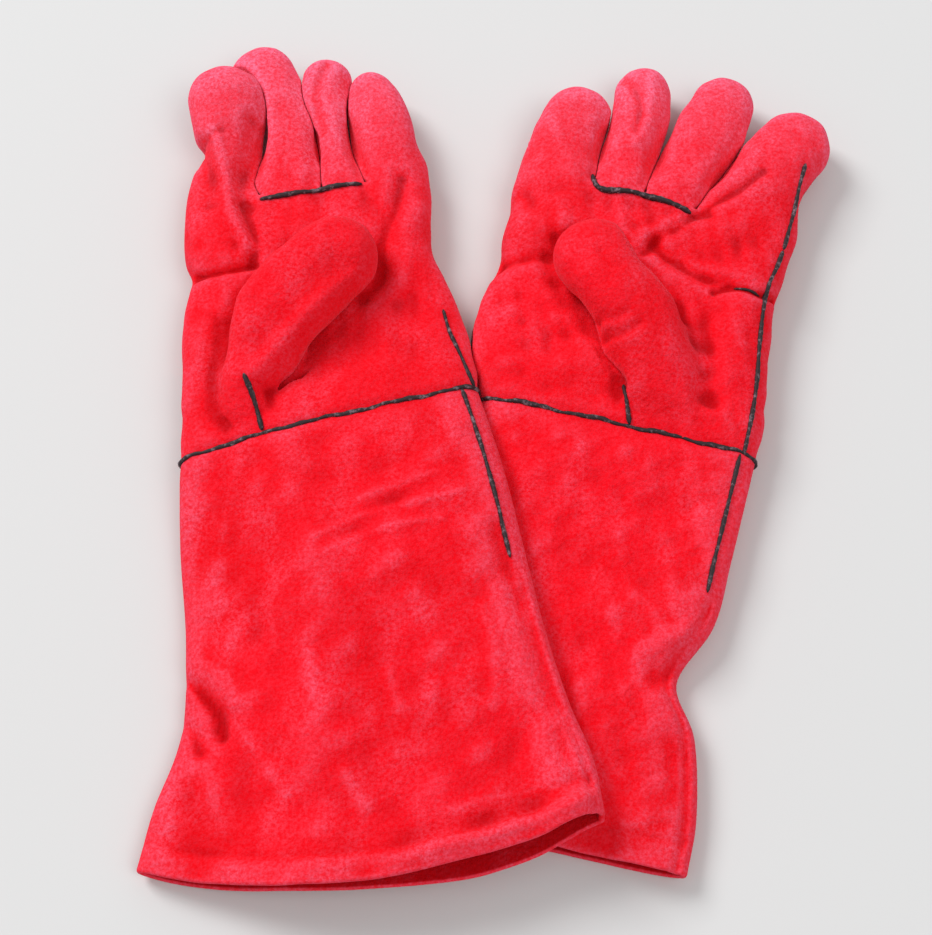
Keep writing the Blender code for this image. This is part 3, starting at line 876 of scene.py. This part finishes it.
def build_hand(side):
    field, low = hand_field(side, VOXEL)
    points, quads = polygons(field, low, VOXEL)
    wrist = wrist_of(side)
    points, faces = cut_at(points, quads, wrist)
    faces = biggest_island(points, faces)
    points = close_clefts(side, points)
    points[:, 2] = np.maximum(points[:, 2], FLOOR)
    normals = vertex_normals(points, faces)
    proud = relief(points, faces, normals)
    # Weaker painted highlight, nap wear and painted shade on the raised thumb.
    proud *= 1 - 0.6 * smooth((points[:, 2] - 21) / 6) * smooth((100 - points[:, 1]) / 16)
    part = sort_faces(side, points, faces)
    for i, (name, blend) in enumerate(parts_of(side)):
        some = [face for face, p in zip(faces, part) if p == i]
        if name == "hand":
            nodes = [side + end for end in ("_palm_panel", "_hand_back_panel", "_thumb_wing")]
        else:
            nodes = [side + "_" + name + end for end in ("_front", "_back")]
        piece = make_piece(f"{side}_{name}_leather", points, some, normals, proud)
        finish_piece(piece, RED, "red_leather", blend=blend, nodes=nodes)
    return points, faces


def build_linings(side):
    """The lining of the hand and digits, a little inside the leather."""
    field, low = hand_field(side, LINING_VOXEL)
    points, quads = polygons(field, low, LINING_VOXEL, LINING_LEVEL)
    wrist = wrist_of(side)
    step = (wrist[1] - wrist[0]) / np.linalg.norm(wrist[1] - wrist[0])
    points, faces = cut_at(points, quads, wrist + 3 * np.array([-step[1], step[0]]))
    points[:, 2] = np.maximum(points[:, 2], 2.0)
    part = sort_faces(side, points, faces)
    for i, (name, blend) in enumerate(parts_of(side)):
        some = [face[::-1] for face, p in zip(faces, part) if p == i]
        piece = make_piece(f"{side}_{name}_cotton", points, some)
        finish_piece(piece, COTTON, "lining", blend=blend, nodes=[f"{side}_{name}_lining"])


# ---------------------------------------------------------------- cuffs


def cuff_rows(side, count):
    rows = catmull(CUFFS[side], 24)
    along = np.concatenate([[0], np.cumsum(np.linalg.norm(np.diff(rows[:, :6], axis=0), axis=1))])
    want = np.linspace(0, along[-1], count)
    return np.stack([np.interp(want, along, rows[:, k]) for k in range(rows.shape[1])], 1)


def cuff_skin(side, count=190, flat=96, bend=14):
    """The outside of a cuff as rings of points, hem first."""
    rows = cuff_rows(side, count)
    quarter = (np.arange(bend) + 0.5) / bend * np.pi / 2
    near = EDGE * (1 - np.cos(quarter) ** (2 / FULL))
    rings = []
    for row in rows:
        left, right = row[0:3], row[3:6]
        width = np.linalg.norm(right - left)
        middle = np.linspace(EDGE, width - EDGE, flat)
        d = np.concatenate([near, middle, width - near[::-1]]) / width
        height = np.minimum(d, 1 - d) * width / EDGE
        height = (1 - np.clip(1 - height, 0, 1) ** FULL) ** (1 / FULL)
        x = left[0] + (right[0] - left[0]) * d
        y = left[1] + (right[1] - left[1]) * d - row[10] * 4 * d * (1 - d)
        z = left[2] + (right[2] - left[2]) * smooth((d - 0.05) / 0.35)
        top = z + (row[6] + (row[7] - row[6]) * d) * height
        low = z - (row[8] + (row[9] - row[8]) * d) * height
        upper = np.stack([x, y, top], 1)
        lower = np.stack([x, y, low], 1)[::-1]
        rings.append(np.concatenate([upper, lower]))
    skin = np.array(rings)
    return shape_cuff(side, skin)


def shape_cuff(side, skin):
    """Folds, the turned hem's ridge and the slack of soft leather."""
    count, around, _ = skin.shape
    half = around // 2
    x, y, z = skin[..., 0], skin[..., 1], skin[..., 2]
    is_top = (np.arange(around) < half)[None, :] + np.zeros((count, 1), bool)
    along = np.linspace(0, 1, count)[:, None] * np.ones((1, around))
    length = np.linalg.norm(np.diff(skin[:, half // 2], axis=0), axis=1).sum()
    from_hem = along * length
    calm = smooth((1 - along) * length / 14)
    place = np.arange(around) % half
    share = np.minimum(place, half - 1 - place)[None, :] / 14
    flat = smooth(share) + np.zeros((count, 1))
    lift = 1.6 * ripple(x, y, z, 62, 11 if side == "left" else 12)
    lift += 0.85 * ripple(x + 0.2 * y, 0.6 * y, z, 27, 13 if side == "left" else 14)
    lift += 0.42 * ripple(x - 0.3 * y, 0.7 * y, z, 11, 15 if side == "left" else 16)
    lift *= np.where(is_top, 1.0, 0.25)
    for path, depth, width in CUFF_FOLDS[side]:
        near = np.exp(-((to_curve(x, y, path)[0] / width) ** 2))
        lift -= depth * near * is_top
    groove = np.exp(-(((from_hem - HEM_DEPTH + 2) / 1.6) ** 2))
    lift -= 0.6 * groove * is_top
    inset = np.hypot(x - x[:, half - 1 : half], y - y[:, half - 1 : half])
    lift -= 2.4 * np.exp(-(((inset - 5.0) / 1.3) ** 2)) * is_top * (1 - smooth((along - 0.58) / 0.06))
    wrist_dip = 1.2 * np.exp(-(((1 - along) * length / 3.5) ** 2))
    out = skin.copy()
    sign = np.where(is_top, 1.0, -1.0)
    out[..., 2] += sign * (lift * calm * (0.35 + 0.65 * flat) - wrist_dip * flat * is_top)
    near_hem = 1 - smooth(from_hem / 32)
    across = np.where(is_top, place[None, :], half - 1 - place[None, :]) / (half - 1)
    if side == "left":
        gape = np.exp(-(((across - 0.93) / 0.05) ** 2)) * near_hem
        sag = np.exp(-(((across - 0.80) / 0.22) ** 2)) * near_hem
        roll = (0.3 + 0.7 * smooth((across - 0.40) / 0.35)) * smooth(across / 0.06) * smooth((1 - across) / 0.05)
        roll = roll * (2.6 * np.exp(-(((from_hem - 5.5) / 4.2) ** 2)) - 2.0 * np.exp(-(((from_hem - 14) / 4) ** 2)))
        over_right = smooth((across - 0.70) / 0.12)
        out[..., 1] += np.where(is_top, 1.2 * gape + 1.1 * sag, -4.0 * sag + 2.0 * gape)
        out[..., 2] += np.where(is_top, 3.0 * gape + 1.2 * sag + roll, -3.0 * sag * (1 - over_right))
    out[..., 2] = np.maximum(out[..., 2], FLOOR)
    return out


def ring_normals(skin):
    """Outward directions of a skin made of closed rings."""
    along = np.gradient(skin, axis=0)
    around = np.roll(skin, -1, 1) - np.roll(skin, 1, 1)
    normal = np.cross(along, around)
    normal /= np.linalg.norm(normal, axis=2, keepdims=True) + 1e-9
    middle = skin.mean(1, keepdims=True)
    if ((skin - middle) * normal).sum() < 0:
        normal = -normal
    return normal


def ring_faces(rings, around, flip):
    faces = []
    for i in range(rings - 1):
        for j in range(around):
            k = (j + 1) % around
            face = [i * around + j, i * around + k, (i + 1) * around + k, (i + 1) * around + j]
            faces.append(face[::-1] if flip else face)
    return faces


def build_cuff(side):
    skin = cuff_skin(side)
    count, around, _ = skin.shape
    normal = ring_normals(skin)
    length = np.linalg.norm(np.diff(skin[:, around // 4], axis=0), axis=1).sum()
    from_hem = np.linspace(0, length, count)
    wall = WALL + (HEM_WALL - WALL) * (1 - smooth((from_hem - HEM_DEPTH) / 3))
    inner = skin - normal * wall[:, None, None]
    edge = []
    outward = skin[0] - skin[1]
    outward /= np.linalg.norm(outward, axis=1, keepdims=True)
    for turn in (30, 60, 90, 120, 150):
        angle = np.radians(turn)
        middle = (skin[0] + inner[0]) / 2
        spoke = (skin[0] - inner[0]) / 2
        edge.append(middle + spoke * np.cos(angle) + outward * HEM_WALL / 2 * np.sin(angle))
    rings = np.concatenate([skin[::-1], np.array(edge), inner])
    points = rings.reshape(-1, 3).copy()
    points[:, 2] = np.maximum(points[:, 2], FLOOR)
    faces = ring_faces(len(rings), around, False)
    normals = vertex_normals(points, faces)
    outer = normals[: count * around].reshape(count, around, 3)
    flip = (outer * normal[::-1]).sum() < 0
    if flip:
        faces = [face[::-1] for face in faces]
    normals = vertex_normals(points, faces)
    proud = relief(points, faces, normals, 28)
    # Raised ridges weigh more in the painted highlight and nap wear than hollows in the painted shade.
    proud = np.where(proud > 0, 1.15, 0.45) * proud
    # Painted shade: the inside of the cuff is painted as dark as the deepest hollow.
    proud[-count * around :] = -2.0
    piece = make_piece(side + "_cuff_leather", points, faces, normals, proud)
    nodes = [side + "_cuff_palm_panel", side + "_cuff_back_panel"]
    finish_piece(piece, RED, "red_leather", body=side + "_cuff", nodes=nodes)

    start = int(np.argmax(from_hem > LINING_START))
    lining = skin[start:] - normal[start:] * (WALL + LINING_GAP)
    faces = ring_faces(len(lining), around, flip)
    piece = make_piece(side + "_cuff_cotton", lining.reshape(-1, 3), faces)
    finish_piece(piece, COTTON, "lining", body=side + "_cuff", nodes=[side + "_cuff_lining"])
    return skin, normal


def cuff_seams(side, skin, normal):
    """The wrist piping and the side piping."""
    count, around, _ = skin.shape
    half = around // 2
    wrist = skin[-1] + normal[-1] * 0.15
    wrist = np.concatenate([wrist, wrist[:1]])
    path = spaced(wrist, 1.6)
    path[:, 1] += 0.45 * np.sin(path[:, 0] * 0.21) + 0.25 * np.sin(path[:, 0] * 0.53)
    path[:, 2] = np.maximum(path[:, 2], 1.4)
    shapes = [tube(path, WRIST_RADIUS, closed=True, knots=0.13)]
    if side == "right":
        # The welt is bunched up beside the other glove's cuff.
        bunched = path[(path[:, 0] > -1) & (path[:, 0] < 13) & (path[:, 2] > 12)]
        shapes.append(tube(bunched, BUNCHED_RADIUS, knots=0.12))
    add_piping(side + "_wrist_piping", joined(shapes), body=side + "_cuff", nodes=[side + "_wrist_welt"])
    for end, column, stop in (("left", around - 7, 0.66), ("right", half - 9, 0.63)):
        first = int(count * stop)
        run = skin[first:, column] + normal[first:, column] * 0.35
        shape = tube(spaced(run, 1.4), SIDE_RADIUS, knots=0.10)
        add_piping(f"{side}_cuff_{end}_piping", shape, body=side + "_cuff", nodes=[f"{side}_cuff_{end}_welt"])


# ---------------------------------------------------------------- seams of the hands

# Each seam: what it bends with, its path in plan, its radius.
SEAMS = {
    "left": {
        "finger_base": (
            "hand", arr((-116.2, 108), (-107.5, 109.6), (-98, 111.6), (-87.8, 113.6), (-77, 114.8), (-68, 116)), 1.2,
        ),
        "thumb": ("cuff", arr((-117, 10.5), (-114.4, 5), (-112, -1.5), (-110, -8), (-108.4, -13.6)), 1.1),
        "hand_right": ("cuff", arr((-30.8, 50), (-28, 38), (-25.6, 32), (-22.4, 24), (-19.2, 15), (-16.4, 8.6)), 0.85),
    },
    "right": {
        "finger_base": (
            "hand",
            arr((38.6, 122), (39.6, 115.6), (43, 112.6), (48, 111.8), (56, 111.6), (63, 110), (73, 106.6), (84.5, 100.6)),
            1.35,
        ),
        "thumb": ("cuff", arr((49.2, 11), (50.2, 0), (51, -8.6)), 1.0),
        "wing": ("cuff", arr((101, 60.4), (107, 59.4), (113, 57)), 0.6),
        "hand_right": (
            "cuff",
            arr((100, -22), (103.5, -8), (106.8, 6), (109.2, 21), (111.2, 36), (115.4, 58), (121.6, 72.6), (125.4, 82)),
            1.0,
        ),
    },
}
NODES = {"finger_base": "finger_base_welt", "hand_right": "hand_right_welt"}


def hand_seams(side, points, faces):
    tree = tree_of(points, faces)
    for name, (kind, path, radius) in SEAMS[side].items():
        run = drop_on(tree, path, radius * 0.35)
        shape = tube(run, radius, knots=0.10)
        nodes = [side + "_" + NODES[name]] if name in NODES else []
        if kind == "hand":
            add_piping(f"{side}_{name}_piping", shape, body=side + "_hand", nodes=nodes)
        else:
            add_piping(f"{side}_{name}_piping", shape, blend=wrist_blend(side), nodes=nodes)
    outline = spaced(catmull(HAND_LEFT[side], 6), 1.4)
    run = []
    for x, y in outline:
        if 0 < to_line(x, y, wrist_of(side)) < 52:
            hit = tree.find_nearest(Vector((x - 2, y, 6.5)))
            run.append(np.array(hit[0] + hit[1] * 0.2))
    shape = tube(relaxed(np.array(run), 4), BACK_RADIUS, knots=0.07)
    add_piping(f"{side}_hand_left_piping", shape, blend=wrist_blend(side), nodes=[side + "_hand_left_welt"])
    return tree


def finger_seams(side, tree):
    """The thin dark seam round every finger, between its front and its back."""
    for i, name in enumerate(FINGERS[side]):
        chain = catmull(DIGITS[side][name], 4)
        ends = KNUCKLES[side][i : i + 2]
        centre = chain[:, :2]
        ahead = np.gradient(centre, axis=0)
        ahead /= np.linalg.norm(ahead, axis=1, keepdims=True)
        across = np.stack([ahead[:, 1], -ahead[:, 0]], 1)
        wide = chain[:, 2:3] + 1.0
        left = centre - across * wide
        right = centre + across * wide
        turn = np.radians(np.arange(165, 0, -15))[:, None]
        cap = centre[-1] + wide[-1] * (across[-1] * np.cos(turn) + ahead[-1] * np.sin(turn))
        outline = np.concatenate([left, cap, right[::-1]])
        height = np.concatenate([chain[:, 4], np.full(len(cap), chain[-1, 4]), chain[::-1, 4]]) - SEAM_DROP
        path = spaced(np.concatenate([outline, height[:, None]], 1), 1.5)
        runs = [[]]
        for point in path:
            gaps = [to_curve(point[:1], point[1:2], cleft)[0][0] for cleft in CLEFTS[side]]
            hit = tree.find_nearest(Vector(point))
            spot = np.array(hit[0])
            order = sum(to_curve(spot[:1], spot[1:2], cleft)[1][0] > 0 for cleft in CLEFTS[side])
            waist = side == "left" and name == "index" and point[1] < 152
            astray = waist or order != i or min(gaps) < CLEFT_REACH or hit[3] > CLEFT_REACH
            if astray or to_line(point[0], point[1], ends) < 3.0:
                if runs[-1]:
                    runs.append([])
                continue
            runs[-1].append(np.array(hit[0] + hit[1] * 0.05))
        runs = [relaxed(np.array(run), 4) for run in runs if len(run) > 6]
        shape = joined([tube(run, SEAM_RADIUS, sides=8) for run in runs])
        add_piping(f"{side}_{name}_seam", shape, blend=digit_blend(side, name, ends))


for glove in ("left", "right"):
    hand_points, hand_faces = build_hand(glove)
    build_linings(glove)
    hand_tree = hand_seams(glove, hand_points, hand_faces)
    finger_seams(glove, hand_tree)
    cuff, outward_of_cuff = build_cuff(glove)
    cuff_seams(glove, cuff, outward_of_cuff)
    if glove == "right":
        run = drop_on(hand_tree, arr((125.4, 82), (127.6, 89), (131.8, 102.5), (135.2, 116), (139, 128)), 0.35)
        shape = tube(run, INDEX_RADIUS, knots=0.10)
        add_piping("right_index_piping", shape, blend=digit_blend("right", "index", KNUCKLES["right"][3:5]))


# ---------------------------------------------------------------- studio


def studio():
    scene = bpy.context.scene
    world = bpy.data.worlds.new("studio")
    world.use_nodes = True
    background = world.node_tree.nodes["Background"]
    background.inputs["Color"].default_value = (1.0, 1.0, 1.0, 1)
    background.inputs["Strength"].default_value = 0.50
    scene.world = world
    scene.view_settings.view_transform = "Standard"

    mesh = bpy.data.meshes.new("floor")
    size = 6.0
    mesh.from_pydata([(-size, -size, 0), (size, -size, 0), (size, size, 0), (-size, size, 0)], [], [(0, 1, 2, 3)])
    floor = bpy.data.objects.new("floor", mesh)
    scene.collection.objects.link(floor)
    material, _, shader = new_material("pale_floor")
    shader.inputs["Base Color"].default_value = (0.675, 0.675, 0.675, 1)
    shader.inputs["Roughness"].default_value = 0.9
    shader.inputs["Specular IOR Level"].default_value = 0.1
    mesh.materials.append(material)

    for name, place, power, size in (
        ("key", (-3.0, 2.4, 3.4), 190.0, 2.2),
        ("fill", (2.4, -1.6, 4.2), 72.0, 3.0),
    ):
        lamp = bpy.data.lights.new(name, "AREA")
        lamp.energy = power
        lamp.size = size
        holder = bpy.data.objects.new(name, lamp)
        holder.location = place
        aim = Vector((0, 0, 0)) - Vector(place)
        holder.rotation_euler = aim.to_track_quat("-Z", "Y").to_euler()
        scene.collection.objects.link(holder)

    camera = bpy.data.cameras.new("camera")
    camera.sensor_width = 36
    camera.lens = 64.7
    holder = bpy.data.objects.new("camera", camera)
    target = Vector((-0.0204, -0.0264, 0.015))
    tilt = np.radians(65)
    away = Vector((0, -np.cos(tilt), np.sin(tilt))) * 0.7304
    holder.location = target + away
    holder.rotation_euler = (-away).to_track_quat("-Z", "Y").to_euler()
    scene.collection.objects.link(holder)
    scene.camera = holder


studio()
